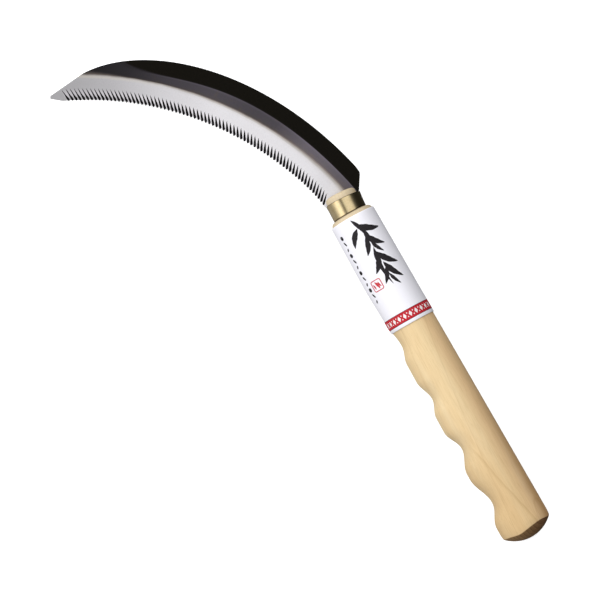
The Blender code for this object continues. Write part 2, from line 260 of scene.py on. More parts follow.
def turned_mesh(name, profile, sides, closed, shape=None, sharp=30, marks=None):
    """A turned body: rings at (x, radius), with an end cap point where the
    radius is 0. shape(x, radius, theta) -> (x, radius)."""
    verts, rings, values = [], [], []
    for x, radius in profile:
        if radius < 1e-6:
            rings.append([len(verts)])
            verts.append((x, 0.0, 0.0))
            values.append(marks(x, 0.0) if marks else 0.0)
            continue
        ring = []
        for k in range(sides):
            theta = math.tau * k / sides
            px, pr = shape(x, radius, theta) if shape else (x, radius)
            ring.append(len(verts))
            verts.append((px, pr * math.cos(theta), pr * math.sin(theta)))
            values.append(marks(x, radius) if marks else 0.0)
        rings.append(ring)
    faces = []
    pairs = list(zip(rings, rings[1:]))
    if closed:
        pairs.append((rings[-1], rings[0]))
    for a, b in pairs:
        for k in range(sides):
            m = (k + 1) % sides
            if len(a) == 1:
                faces.append((a[0], b[m], b[k]))
            elif len(b) == 1:
                faces.append((a[k], a[m], b[0]))
            else:
                faces.append((a[k], a[m], b[m], b[k]))
    return build(name, verts, faces, sharp, {"mark": values})


def make_handle():
    profile = []
    sphere = (BUTT_RIM_RADIUS**2 + BUTT_DOME_HEIGHT**2) / (2 * BUTT_DOME_HEIGHT)
    rim_angle = math.asin(BUTT_RIM_RADIUS / sphere)
    for k in range(22):
        a = rim_angle * 0.985 * k / 21
        profile.append((BUTT_RIM_X - BUTT_DOME_HEIGHT + sphere * (1 - math.cos(a)), sphere * math.sin(a)))
    # The rim is broken with a small round.
    start, end = profile[-1], (BUTT_RIM_X + 0.30, body_radius(BUTT_RIM_X + 0.30))
    for k in (1, 2, 3):
        t = k / 4
        corner = (BUTT_RIM_X, BUTT_RIM_RADIUS)
        profile.append(tuple((1 - t) ** 2 * start[i] + 2 * (1 - t) * t * corner[i] + t * t * end[i] for i in (0, 1)))
    profile.append(end)
    stations = list(np.arange(1.8, SHOULDER_START_X - 0.4, 0.8)) + [SHOULDER_START_X]
    profile += [(x, body_radius(x)) for x in stations]
    reach = SHOULDER_X - SHOULDER_START_X
    profile += [(x, body_radius(x)) for x in (SHOULDER_START_X + reach * s for s in (0.2, 0.4, 0.58, 0.74, 0.86, 0.94, 0.985, 1.0))]
    profile.append((SHOULDER_X, (SHOULDER_RADIUS + TENON_RADIUS) / 2))
    profile.append((SHOULDER_X, TENON_RADIUS))
    profile += [(x, TENON_RADIUS) for x in np.linspace(SHOULDER_X + 1.0, FERRULE_END_X, 8)]
    for k in range(1, 9):
        a = math.pi / 2 * k / 8
        profile.append((
            NOSE_X - NOSE_ROUND + NOSE_ROUND * math.sin(a),
            TENON_RADIUS - NOSE_ROUND * 1.2 * (1 - math.cos(a)),
        ))
    profile += [(NOSE_X, 4.2), (NOSE_X, 2.0), (NOSE_X, 0.0)]

    def shape(x, radius, theta):
        r = pressed(x, radius, theta)
        if x < BUTT_RIM_X + 5.0:
            # The butt was rounded by hand, so its rim wanders.
            if x < BUTT_RIM_X:
                near = (radius / BUTT_RIM_RADIUS) ** 4
            else:
                near = (1 - (x - BUTT_RIM_X) / 5.0) ** 2
            turn = math.degrees(theta)
            x += near * (0.60 * math.exp(-(((turn - 123) / 21) ** 2)) - 0.98 * math.exp(-(((turn - 68) / 21) ** 2)))
        lift = min(max((x - FERRULE_END_X) / (NOSE_X - FERRULE_END_X), 0.0), 1.0)
        return x + NOSE_SLANT * r * math.cos(theta) * lift, r

    def marks(x, radius):
        if x < BUTT_RIM_X - 0.05:
            return 1.0
        # Below zero for the pale end grain at the shoulder and on the nose.
        return -0.5 if x > SHOULDER_START_X + 1.2 else 0.0

    handle = turned_mesh("wooden_handle", profile, 144, False, shape, 33, marks)
    cut_away(handle, (SLOT_END_X, -20.0, -SLOT_THICKNESS / 2), (NOSE_X + 10.0, 20.0, SLOT_THICKNESS / 2), sharp=33)
    cut_away(handle, pin=(PIN_HOLE_RADIUS, 20.0), sharp=33)
    return handle


# ------------------------------------------------------------- blade's shape
class Rail:
    """A flat line that is read by its share of length."""

    def __init__(self, points):
        points = np.array(points, float)
        keep = np.r_[True, np.hypot(*np.diff(points, axis=0).T) > 1e-6]
        self.points = points[keep]
        self.along = np.r_[0, np.cumsum(np.hypot(*np.diff(self.points, axis=0).T))]
        self.length = self.along[-1]

    def at(self, share):
        d = share * self.length
        return np.array([np.interp(d, self.along, self.points[:, k]) for k in (0, 1)])


def rounded_corner(start, corner, end, count=9):
    t = np.linspace(0, 1, count)[:, None]
    a, b, c = (np.array(p, float) for p in (start, corner, end))
    return (1 - t) ** 2 * a + 2 * (1 - t) * t * b + t * t * c


def extended(points, t, reach):
    """A curve with a straight run added in front of its start."""
    line = bezier(points, t)
    out = np.array(points[0], float) - np.array(points[1], float)
    out /= np.hypot(*out)
    return np.vstack([[line[0] + out * reach], line])


def crossing(points, a, b):
    """How far along the line from a to b it meets the polyline, as a share."""
    d = b - a
    side = (points[:, 0] - a[0]) * d[1] - (points[:, 1] - a[1]) * d[0]
    best = None
    for i in np.nonzero(np.sign(side[:-1]) != np.sign(side[1:]))[0]:
        f = side[i] / (side[i] - side[i + 1])
        p = points[i] + f * (points[i + 1] - points[i])
        s = float((p - a) @ d / (d @ d))
        if s > 0.01 and (best is None or s < best):
            best = s
    return best


class BladePlan:
    """Sections across the blade, from the lower outline to the spine."""

    def __init__(self):
        t = np.linspace(0, 1, 401)
        self.upper = Rail(np.vstack([
            [TIP_HIGH], bezier(SPINE, t), rounded_corner(SPINE_CORNER_START, SPINE_CORNER, SPINE_CORNER_END), [SPINE_FOOT],
        ]))
        self.lower = Rail(np.vstack([[TIP_LOW], bezier(EDGE, t), [HEEL]]))
        grind = extended(GRIND, t, 60.0)
        ridge = extended(RIDGE, t, 60.0)
        self.shares = np.linspace(0.0, 1.0, 700)
        at_grind, at_ridge, span = [], [], []
        for share in self.shares:
            a, b = self.lower.at(share), self.upper.at(share)
            width = max(np.hypot(*(b - a)), 1e-3)
            span.append(width)
            g = crossing(grind, a, b)
            r = crossing(ridge, a, b)
            at_grind.append(60.0 / width if g is None else g)
            at_ridge.append(90.0 / width if r is None else r)
        at_grind[-1] = (HEEL[1] - GRIND[-1][1]) / (HEEL[1] - SPINE_FOOT[1])
        at_ridge[-1] = (HEEL[1] - RIDGE[-1][1]) / (HEEL[1] - SPINE_FOOT[1])
        self.span = np.array(span)
        self.grind = np.array(at_grind)
        self.ridge = np.maximum(np.array(at_ridge), self.grind + 0.5 / self.span)
        self.runs = self.groove_runs()

    def groove_runs(self):
        """For some shares: the shift of share and the length along a section
        that take a groove from its outer end to its inner end."""
        shares, shift, length = [], [], []
        for share in np.linspace(GROOVE_FIRST, GROOVE_LAST, 60):
            run = np.array((np.interp(share, RUN_AT, RUN_X), np.interp(share, RUN_AT, RUN_Y)))
            goal = self.lower.at(share) + run
            best = None
            for other in np.linspace(max(share - 0.06, 0.0), min(share + 0.01, 1.0), 281):
                a, b = self.lower.at(other), self.upper.at(other)
                d = (b - a) / np.hypot(*(b - a))
                off = abs((goal - a)[0] * d[1] - (goal - a)[1] * d[0])
                if best is None or off < best[0]:
                    best = (off, share - other, min((goal - a) @ d, 0.83 * np.hypot(*(b - a))))
            shares.append(share)
            shift.append(best[1])
            length.append(best[2])
        return np.array(shares), np.array(shift), np.array(length)

    def run(self, share):
        shares, shift, length = self.runs
        if share < GROOVE_FIRST:
            f = share / GROOVE_FIRST
            width = float(np.interp(share, self.shares, self.span))
            return shift[0] * f, length[0] * f + 0.45 * width * (1 - f)
        if share > GROOVE_LAST:
            f = (1 - share) / (1 - GROOVE_LAST)
            return shift[-1] * f, length[-1]
        return float(np.interp(share, shares, shift)), float(np.interp(share, shares, length))

    def section(self, share):
        share = min(max(share, 0.0), 1.0)
        a, b = self.lower.at(share), self.upper.at(share)
        width = float(np.hypot(*(b - a)))
        g = float(np.interp(share, self.shares, self.grind))
        r = float(np.interp(share, self.shares, self.ridge))
        return a, b, width, g, r


def face_height(t, g, r, width):
    """Height of the ground face at share t of a section."""
    if t <= g:
        return EDGE_Z + (GRIND_Z - EDGE_Z) * t / g
    slope = min(r - g, 9.0 / width)
    return min(GRIND_Z + (HALF - GRIND_Z) * (t - g) / slope, HALF)


def band(t, g, r):
    """0 at the edge, 1 at the grind line, 2 at the ridge, 3 at the spine."""
    if t <= g:
        return t / g
    if t <= r:
        return 1 + (t - g) / (r - g)
    return 2 + (t - r) / max(1 - r, 1e-3)


def limits(g, ridge, width):
    """Shares of a section where the spine's bevel, the ridge and the grind
    line lie, kept apart where the blade gets narrow, and the least step."""
    edge_bevel = min(0.35, 0.04 * width) / width
    least = min(0.12, 0.012 * width) / width
    t_bevel = 1 - edge_bevel
    t_grind = min(g, t_bevel - 4 * least)
    t_ridge = min(max(ridge, t_grind + 2 * least), t_bevel - least)
    return t_grind, t_ridge, t_bevel, least


def make_blade():
    plan = BladePlan()
    step = (GROOVE_LAST - GROOVE_FIRST) / (GROOVES - 1)
    length = plan.lower.length
    columns = [(s, "plain") for s in (0.0, 0.004, 0.010, 0.017, 0.025, 0.033, 0.039, 0.043, 0.049)]
    for k in range(GROOVES):
        centre = GROOVE_FIRST + step * (k + float(np.interp(k, DRIFT_AT, DRIFT)))
        if k == 0:
            columns.append((centre - step * 0.62, "first"))
        columns += [(centre, "rim_a"), (centre, "lip_a"), (centre, "bottom"), (centre, "lip_b"), (centre, "rim_b")]
        if k < GROOVES - 1:
            columns.append((centre + step / 2, "land"))
    columns += [(GROOVE_LAST + (1 - GROOVE_LAST) * f, "plain") for f in (0.72, 1.0)]
    outer = {"plain": 0.0, "first": -0.10, "rim_a": -0.08, "rim_b": -0.12, "land": -0.36, "lip_a": 0.0, "bottom": 0.0, "lip_b": 0.0}
    rows = (0.0, 0.05, 0.10, 0.17, 0.26, 0.38, 0.52, 0.67, 0.82, 0.93, 1.0)
    verts, across, along, groove, under = [], [], [], [], []

    def add(a, b, t, z, mark, dark, below=0.0, share=0.0):
        p = a + (b - a) * t
        verts.append((p[0], p[1], z))
        across.append(mark)
        along.append(share)
        groove.append(dark)
        under.append(below)

    loops = []
    for share, kind in columns:
        first = len(verts)
        shift, reach = plan.run(share)
        in_groove = kind in ("lip_a", "bottom", "lip_b")
        jut = outer[kind] * float(np.interp(share, (0.06, 0.40, 0.88, 0.99), (0.40, 1.0, 1.0, 0.45)))
        if in_groove:
            # The burr at a groove's outer end sticks out, but no more than its
            # lean allows without folding over.
            rim = outer["rim_a"] * float(np.interp(share, (0.06, 0.40, 0.88, 0.99), (0.40, 1.0, 1.0, 0.45)))
            steep = max(shift * length / reach, 0.05)
            lip = rim + min(0.16, 0.045 / steep)
            bold = float(np.interp(share, (0.06, 0.17, 0.35, 0.58, 0.70, 0.80, 0.94, 0.99), (0.40, 0.80, 1.10, 0.80, 1.0, 1.45, 1.45, 0.50)))
            if kind == "lip_a":
                jut = lip
            elif kind == "bottom":
                jut = lip + min(0.42 * bold, 0.30 / steep)
            else:
                jut = 0.5 * lip
        jut += float(np.interp(share, (0.03, 0.10, 0.60, 0.72, 0.80, 0.95, 0.99, 1.0), (0.0, 0.13, 0.13, 0.20, 0.34, 0.32, 0.14, 0.0)))
        off = 0.0
        tooth = []
        for r in rows:
            # Near the tip the wheel only touched, so the inner part is thinner.
            slim = 1 - float(np.interp(share, (0.10, 0.42), (0.42, 0.0))) * float(np.interp(r, (0.15, 0.45), (0.0, 1.0)))
            if kind in ("lip_a", "rim_a"):
                off = -slim * np.interp(r, GROOVE_AT, REACH_TIP) - (0.07 if kind == "rim_a" else 0.0)
            elif kind in ("lip_b", "rim_b"):
                off = slim * np.interp(r, GROOVE_AT, REACH_HANDLE) + (0.07 if kind == "rim_b" else 0.0)
            elif kind == "bottom":
                # The file's outer end hooks towards the tip.
                off = -0.20 * max(0.0, 1 - r / 0.16)
            a, b, width, g, ridge = plan.section(share + off / length - shift * r)
            t = (-jut * (1 - r) + reach * r) / width
            t_grind, t_ridge, t_bevel, least = limits(g, ridge, width)
            t = min(t, (t_grind - 6 * least) * (0.5 + 0.5 * r))
            z = face_height(max(t, 0.0), g, ridge, width)
            if kind == "bottom":
                z = max(z - float(np.interp(r, GROOVE_AT, GROOVE_CUT)), -0.93)
            elif kind in ("rim_a", "rim_b"):
                z += 0.03 * math.sin(math.pi * min(r * 1.1, 1.0))
            tooth.append((a, b, t, z, band(max(t, 0), g, ridge), g, ridge))
            # The groove mark: 1 in a groove's hollow, which the steel paints near black as shade; below 0 beside it,
            # which the steel paints brighter as a highlight.
            dark = (1.0 if r < 0.99 else 0.7) if in_groove else 0.0
            if kind in ("rim_a", "rim_b", "land"):
                dark = -0.5 * math.sin(math.pi * min(max(r * 0.9 + 0.08, 0.0), 1.0))
            add(a, b, t, z, band(max(t, 0), g, ridge), dark, 0.0, share)
        a, b, width, g, ridge = plan.section(share + off / length - shift)
        t_grind, t_ridge, t_bevel, least = limits(g, ridge, width)
        inner = tooth[-1][2]
        near = min(0.4 / width, (t_grind - inner) * 0.2)
        for t in (inner + (t_grind - near - inner) * 0.14, inner + (t_grind - near - inner) * 0.5, t_grind - near, t_grind):
            add(a, b, t, face_height(t, g, ridge, width), band(t, g, ridge), 0.0, 0.0, share)
        for f in (0.08, 0.5, 0.93, 1.0):
            t = t_grind + (t_ridge - t_grind) * f
            add(a, b, t, face_height(t, g, ridge, width), band(t, g, ridge), 0.0, 0.0, share)
        for f in (0.08, 0.5, 1.0):
            t = t_ridge + (t_bevel - t_ridge) * f
            add(a, b, t, face_height(t, g, ridge, width), band(t, g, ridge), 0.0, 0.0, share)
        top = face_height(1.0, g, ridge, width)
        drop = min(0.3, 0.3 * (top + HALF))
        add(a, b, 1.0, top - drop, max(band(1.0, g, ridge), 0.0), 0.0, 0.0, share)
        add(a, b, 1.0, -HALF + drop, 3.0, 0.0, 0.5, share)
        for t in (t_bevel, t_ridge, t_grind):
            add(a, b, t, -HALF, 3.0, 0.0, 1.0, share)
        for i in (len(rows) - 1, 5, 0):
            ra, rb, t, z, mark, g2, r2 = tooth[i]
            add(ra, rb, t, -HALF, mark, 0.0, 1.0, share)
        loops.append(list(range(first, len(verts))))
    count = len(loops[0])
    top_count = len(rows) + 4 + 4 + 3
    # The tang goes on below the shoulders as a plain flat bar, blunt at the end.
    for f, grow in ((0.0, 1.0), (0.2, 1.0), (0.4, 1.0), (0.6, 1.0), (0.8, 1.0), (0.93, 1.0), (0.98, 0.9), (1.0, 0.62)):
        skew = (HEEL[0] - SPINE_FOOT[0]) / (HEEL[1] - SPINE_FOOT[1]) * (1 - f)
        half = (TANG_ROOT_HALF + (TANG_END_HALF - TANG_ROOT_HALF) * min(f / 0.93, 1.0)) * grow
        first = len(verts)
        for i in range(count):
            if i < top_count:
                y, z = half - (2 * half - 0.3) * i / (top_count - 1), 0.85
            elif i == top_count:
                y, z = -half, 0.55
            elif i == top_count + 1:
                y, z = -half, -0.55
            else:
                j = (i - top_count - 2) / (count - top_count - 3)
                y, z = -half + 0.3 + (2 * half - 0.3) * j, -0.85
            x = HEEL[0] - 0.15 - (HEEL[0] - TANG_END_X - 0.15) * f
            verts.append((x + skew * (y - HEEL[1]), y, z))
            across.append(2.5)
            along.append(1.0)
            groove.append(0.0)
            under.append(0.0 if z > 0 else 1.0)
        loops.append(list(range(first, len(verts))))
    faces = []
    for a, b in zip(loops, loops[1:]):
        for k in range(count):
            m = (k + 1) % count
            faces.append((a[k], a[m], b[m], b[k]))
    faces.append(tuple(reversed(loops[0])))
    faces.append(tuple(loops[-1]))
    blade = build(
        "blade_with_tang", verts, faces, 22,
        {"across": across, "along": along, "groove": groove, "under": under}, weld=2e-8,
    )
    cut_away(blade, pin=(PIN_HOLE_RADIUS, 10.0), sharp=22)
    return blade


# ------------------------------------------------------- ferrule and sleeve
FERRULE_SEAM = math.radians(-118)
SLEEVE_LAP = math.radians(-100)


def make_ferrule():
    a, b = FERRULE_START_X, FERRULE_END_X
    ra, rb, bore = FERRULE_RADIUS_START, FERRULE_RADIUS_END, FERRULE_BORE_RADIUS
    outside = []
    for t in np.linspace(0, 1, 13):
        x = a + 0.45 + (b - a - 0.9) * t
        outside.append((x, ra + (rb - ra) * t - 0.07 * math.sin(math.pi * t)))
    profile = [(a, bore)] + [(a, ra - 0.40), (a + 0.06, ra - 0.18), (a + 0.20, ra - 0.05)] + outside
    profile += [(b - 0.20, rb - 0.05), (b - 0.06, rb - 0.18), (b, rb - 0.40), (b, bore + 0.3), (b, bore)]

    def shape(x, radius, theta):
        gap = abs((theta - FERRULE_SEAM + math.pi) % math.tau - math.pi)
        if radius > bore + 0.2 and gap < 0.013:
            radius -= 0.10
        # Driven on by hand: it leans a little to the back, and its upper rim
        # isn't quite square.
        f = (x - a) / (b - a)
        if radius > bore + 0.31:
            radius -= 0.55 * f * math.cos(theta)
        return x + f * (0.055 * radius * math.cos(theta) - 0.32), radius

    return turned_mesh("brass_ferrule", profile, 240, True, shape, 28)


def sleeve_radius(x, theta):
    """Outside radius of the paper."""
    r = body_radius(x) + SLEEVE_GAP + SLEEVE_THICKNESS
    r -= groove_depth(x) * max(math.cos(theta), 0.0) ** GROOVE_POWER
    return r


def make_sleeve():
    stations = [SLEEVE_START_X, SLEEVE_START_X + 0.08] + list(np.arange(125.0, SHOULDER_START_X, 1.5)) + [SHOULDER_START_X, SLEEVE_END_X - 0.08, SLEEVE_END_X]
    inner = [(x, -1.0) for x in stations]
    outer = [(x, 1.0) for x in reversed(stations)]
    profile = [(x, 20.0 + side) for x, side in inner + outer]

    def shape(x, radius, theta):
        surface = sleeve_radius(x, theta)
        if radius < 20.0:
            return x, surface - SLEEVE_THICKNESS
        lap = (theta - SLEEVE_LAP) % math.tau
        ripple = 0.018 * math.sin(x * 0.21 + 2 * theta) * math.sin(x * 0.047 + 1.3)
        edge = min(min(x - SLEEVE_START_X, SLEEVE_END_X - x) / 0.08, 1.0)
        if lap < 0.50:
            surface += 0.10
        return x, surface + ripple - 0.04 * (1 - edge)

    return turned_mesh("paper_sleeve_wrap", profile, 288, True, shape, 40)


# ------------------------------------------------------ printing on the paper
PRINT_R = 12.85


def surface_point(x, v, lift):
    """A point on the paper: v is the distance round it from the line that
    faces +Z, positive towards the cutting side."""
    theta = math.pi / 2 - v / PRINT_R
    ripple = 0.018 * math.sin(x * 0.21 + 2 * theta) * math.sin(x * 0.047 + 1.3)
    r = sleeve_radius(x, theta) + ripple + lift
    return x, r * math.cos(theta), r * math.sin(theta)


class Print:
    """Flat strokes of ink, each a thin closed body lying on the paper."""

    def __init__(self):
        self.verts, self.faces, self.layer = [], [], 0
        self.shift = 0.0

    def stroke(self, line, widths, cross=5, closed=False):
        line = np.array(line, float)
        widths = np.array(widths, float)
        if closed:
            ahead, behind = np.roll(line, -1, 0), np.roll(line, 1, 0)
            tangent = ahead - behind
        else:
            tangent = np.gradient(line, axis=0)
        tangent /= np.maximum(np.hypot(*tangent.T), 1e-9)[:, None]
        normal = np.stack([-tangent[:, 1], tangent[:, 0]], 1)
        low = 0.012
        high = 0.040 + 0.0035 * (self.layer % 9)
        self.layer += 1
        rows = []
        for p, n, w in zip(line, normal, widths):
            row = []
            for lift, order in ((high, 1), (low, -1)):
                for k in range(cross)[::order]:
                    q = p + n * w * (k / (cross - 1) - 0.5)
                    row.append(len(self.verts))
                    self.verts.append(surface_point(q[0] + self.shift, q[1], lift))
            rows.append(row)
        count = len(rows[0])
        pairs = list(zip(rows, rows[1:])) + ([(rows[-1], rows[0])] if closed else [])
        for a, b in pairs:
            for k in range(count):
                m = (k + 1) % count
                self.faces.append((a[k], a[m], b[m], b[k]))
        if not closed:
            self.faces.append(tuple(reversed(rows[0])))
            self.faces.append(tuple(rows[-1]))

    def leaf(self, start, end, bend, width, peak=0.35, count=26, ends=0.06):
        """A tapered brush stroke that bows sideways by bend."""
        a, b = np.array(start, float), np.array(end, float)
        t = np.linspace(0, 1, count)
        side = np.array([-(b - a)[1], (b - a)[0]]) / np.hypot(*(b - a))
        line = a + (b - a) * t[:, None] + side * (bend * 4 * t * (1 - t))[:, None]
        rise = np.where(t < peak, np.sin(np.pi / 2 * t / peak), np.cos(np.pi / 2 * (t - peak) / (1 - peak)) ** 0.8)
        wobble = 1 + 0.05 * np.sin(t * 23 + start[0])
        self.stroke(line, np.maximum(width * rise * wobble, ends))

    def dot(self, centre, length, width, turn=0.0):
        t = np.linspace(-1, 1, 13)
        d = np.array((math.cos(turn), math.sin(turn)))
        line = np.array(centre, float) + d * (t * length / 2)[:, None]
        self.stroke(line, np.maximum(width * np.sqrt(np.maximum(1 - t * t, 0)), 0.05))

    def lozenge(self, centre, length, width):
        t = np.linspace(-1, 1, 9)
        line = np.array(centre, float) + np.array((1.0, 0.0)) * (t * length / 2)[:, None]
        self.stroke(line, np.maximum(width * (1 - np.abs(t)), 0.04))

    def finish(self, name):
        verts = np.array(self.verts)
        return build(name, verts, self.faces, 40, weld=1e-9)


def band_ring(name, start, end, low, high):
    """A printed band right round the paper."""
    stations = np.linspace(start, end, 9)
    profile = [(x, 19.0) for x in stations] + [(x, 21.0) for x in reversed(stations)]

    def shape(x, radius, theta):
        lap = (theta - SLEEVE_LAP) % math.tau
        ripple = 0.018 * math.sin(x * 0.21 + 2 * theta) * math.sin(x * 0.047 + 1.3)
        surface = sleeve_radius(x, theta) + ripple + (0.10 if lap < 0.50 else 0.0)
        return x, surface + (low if radius < 20.0 else high)

    return turned_mesh(name, profile, 288, True, shape, 40)


def make_prints():
    black = Print()
    black.shift = 2.6
    # A painted spray of reed grass: two stems with broad leaves off them.
    black.leaf((184.0, 2.2), (164.2, -3.4), 1.2, 2.1, 0.2)
    black.leaf((180.6, 0.6), (174.6, -10.9), -1.5, 3.5, 0.42)
    black.leaf((178.4, 1.0), (169.6, 7.2), -0.9, 3.1, 0.4)
    black.leaf((174.4, -0.6), (165.4, -9.0), -1.3, 3.2, 0.4)
    black.leaf((172.8, -0.6), (163.0, 3.2), 0.9, 2.8, 0.42)
    black.leaf((169.4, -2.0), (161.6, -6.0), -0.6, 2.0, 0.4)
    black.leaf((166.0, -1.8), (143.8, -1.6), -1.4, 2.2, 0.25)
    black.leaf((163.2, -1.8), (153.6, -10.6), -1.5, 3.4, 0.42)
    black.leaf((161.4, -1.8), (152.6, 3.9), 0.9, 3.0, 0.4)
    black.leaf((156.8, -2.4), (145.4, -9.0), -1.2, 3.2, 0.4)
    black.leaf((154.2, -2.4), (145.6, 2.0), 0.7, 2.4, 0.42)
    black.leaf((150.2, -2.2), (142.4, -5.4), -0.5, 1.8, 0.4)
    # A plain column of small brush dots and dashes beside it.
    black.shift = 0.0
    for k, x in enumerate(np.linspace(180.6, 142.6, 12)):
        v = 12.3 + 0.3 * math.sin(k * 2.1)
        if k % 3 == 0:
            black.dot((x, v), 2.5, 2.2, 0.3)
        elif k % 3 == 1:
            black.dot((x, v - 0.5), 2.9, 1.0, 0.5)
        else:
            black.dot((x, v + 0.3), 2.0, 0.95, -0.6)
    ink = black.finish("label_ink_black")

    red = Print()
    # A small square stamp with rounded corners and one leaf in it.
    centre, half, corner = np.array((149.9, 6.6)), 2.9, 0.9
    outline = []
    for sx, sy, start in ((1, 1, 0), (-1, 1, 90), (-1, -1, 180), (1, -1, 270)):
        for k in range(6):
            a = math.radians(start + 90 * k / 5)
            outline.append((
                centre[0] + sx * (half - corner) + corner * math.cos(a),
                centre[1] + sy * (half - corner) + corner * math.sin(a),
            ))
    dense = []
    for a, b in zip(outline, outline[1:] + outline[:1]):
        for f in (0.0, 0.34, 0.67):
            dense.append((a[0] + (b[0] - a[0]) * f, a[1] + (b[1] - a[1]) * f))
    red.stroke(dense, [0.50] * len(dense), 3, closed=True)
    red.leaf((152.1, 7.4), (147.6, 5.8), 0.4, 1.5, 0.45)
    red.leaf((151.6, 5.4), (148.4, 4.4), -0.3, 0.9, 0.45)
    red.leaf((151.2, 8.9), (148.0, 8.2), 0.3, 0.9, 0.45)
    stamp = red.finish("label_ink_red_stamp")

    ribbon = band_ring("label_red_band", 125.9, 131.2, 0.006, 0.030)
    rules = [
        band_ring("label_band_rule_upper", 130.95, 131.30, 0.032, 0.046),
        band_ring("label_band_rule_lower", 125.80, 126.10, 0.032, 0.046),
    ]

    white = Print()
    for k in range(10):
        v = -15.0 + 3.35 * k
        white.lozenge((128.55, v), 3.1, 1.9)
        white.dot((129.6, v + 1.68), 0.7, 0.6)
        white.dot((127.5, v + 1.68), 0.7, 0.6)
    lozenges = white.finish("label_band_lozenges")
    return ink, stamp, ribbon, rules, lozenges


# ------------------------------------------------------------------ materials
class Nodes:
    """A small helper to wire a material."""

    def __init__(self, name):
        self.material = bpy.data.materials.new(name)
        self.material.use_nodes = True
        self.tree = self.material.node_tree
        self.shader = self.tree.nodes["Principled BSDF"]

    def add(self, kind, **settings):
        node = self.tree.nodes.new(kind)
        for key, value in settings.items():
            setattr(node, key, value)
        return node

    def link(self, a, b):
        self.tree.links.new(a, b)

    def value(self, node, socket, value):
        if isinstance(value, bpy.types.NodeSocket):
            self.link(value, node.inputs[socket])
        else:
            node.inputs[socket].default_value = value

    def attribute(self, name):
        return self.add("ShaderNodeAttribute", attribute_name=name).outputs["Fac"]

    def math(self, operation, a, b=0.0, c=0.0, clamp=False):
        node = self.add("ShaderNodeMath", operation=operation, use_clamp=clamp)
        for k, v in enumerate((a, b, c)):
            self.value(node, k, v)
        return node.outputs[0]

    def coordinates(self, scale=(1, 1, 1), rotation=(0, 0, 0), location=(0, 0, 0)):
        """Millimetres on the modelling axes."""
        where = self.add("ShaderNodeTexCoord").outputs["Object"]
        shift = self.add("ShaderNodeVectorMath", operation="SUBTRACT")
        self.link(where, shift.inputs[0])
        shift.inputs[1].default_value = tuple(ORIGIN)
        mapping = self.add("ShaderNodeMapping")
        self.link(shift.outputs[0], mapping.inputs["Vector"])
        mapping.inputs["Scale"].default_value = tuple(1000 * s for s in scale)
        mapping.inputs["Rotation"].default_value = rotation
        mapping.inputs["Location"].default_value = location
        return mapping.outputs[0]

    def noise(self, vector, scale, detail=3.0, rough=0.5, distortion=0.0):
        node = self.add("ShaderNodeTexNoise")
        if vector is not None:
            self.link(vector, node.inputs["Vector"])
        node.inputs["Scale"].default_value = scale
        node.inputs["Detail"].default_value = detail
        node.inputs["Roughness"].default_value = rough
        node.inputs["Distortion"].default_value = distortion
        return node.outputs["Fac"]

    def ramp(self, factor, stops, mode="LINEAR"):
        node = self.add("ShaderNodeValToRGB")
        node.color_ramp.interpolation = mode
        elements = node.color_ramp.elements
        while len(elements) > 1:
            elements.remove(elements[-1])
        for k, (at, colour) in enumerate(stops):
            element = elements[0] if k == 0 else elements.new(at)
            element.position = at
            if not isinstance(colour, tuple):
                colour = (colour, colour, colour)
            element.color = (*colour, 1.0)
        self.link(factor, node.inputs[0])
        return node.outputs[0]

    def mix(self, factor, a, b, blend="MIX"):
        node = self.add("ShaderNodeMix", data_type="RGBA", blend_type=blend)
        self.value(node, 0, factor)
        for socket, v in ((6, a), (7, b)):
            if isinstance(v, tuple):
                v = (*v, 1.0)
            self.value(node, socket, v)
        return node.outputs[2]

    def blend(self, factor, a, b):
        node = self.add("ShaderNodeMix", data_type="FLOAT")
        self.value(node, 0, factor)
        self.value(node, 2, a)
        self.value(node, 3, b)
        return node.outputs[0]

    def range(self, value, low, high, to_low, to_high):
        node = self.add("ShaderNodeMapRange")
        self.value(node, 0, value)
        for k, v in enumerate((low, high, to_low, to_high)):
            node.inputs[k + 1].default_value = v
        return node.outputs[0]

    def bump(self, height, strength, distance, normal=None):
        node = self.add("ShaderNodeBump")
        node.inputs["Strength"].default_value = strength
        node.inputs["Distance"].default_value = distance
        self.link(height, node.inputs["Height"])
        if normal is not None:
            self.link(normal, node.inputs["Normal"])
        return node.outputs[0]

    def set(self, **values):
        for key, v in values.items():
            socket = self.shader.inputs[key.replace("_", " ")]
            if isinstance(v, tuple):
                v = (*v, 1.0)
            if isinstance(v, bpy.types.NodeSocket):
                self.link(v, socket)
            else:
                socket.default_value = v
        return self.material


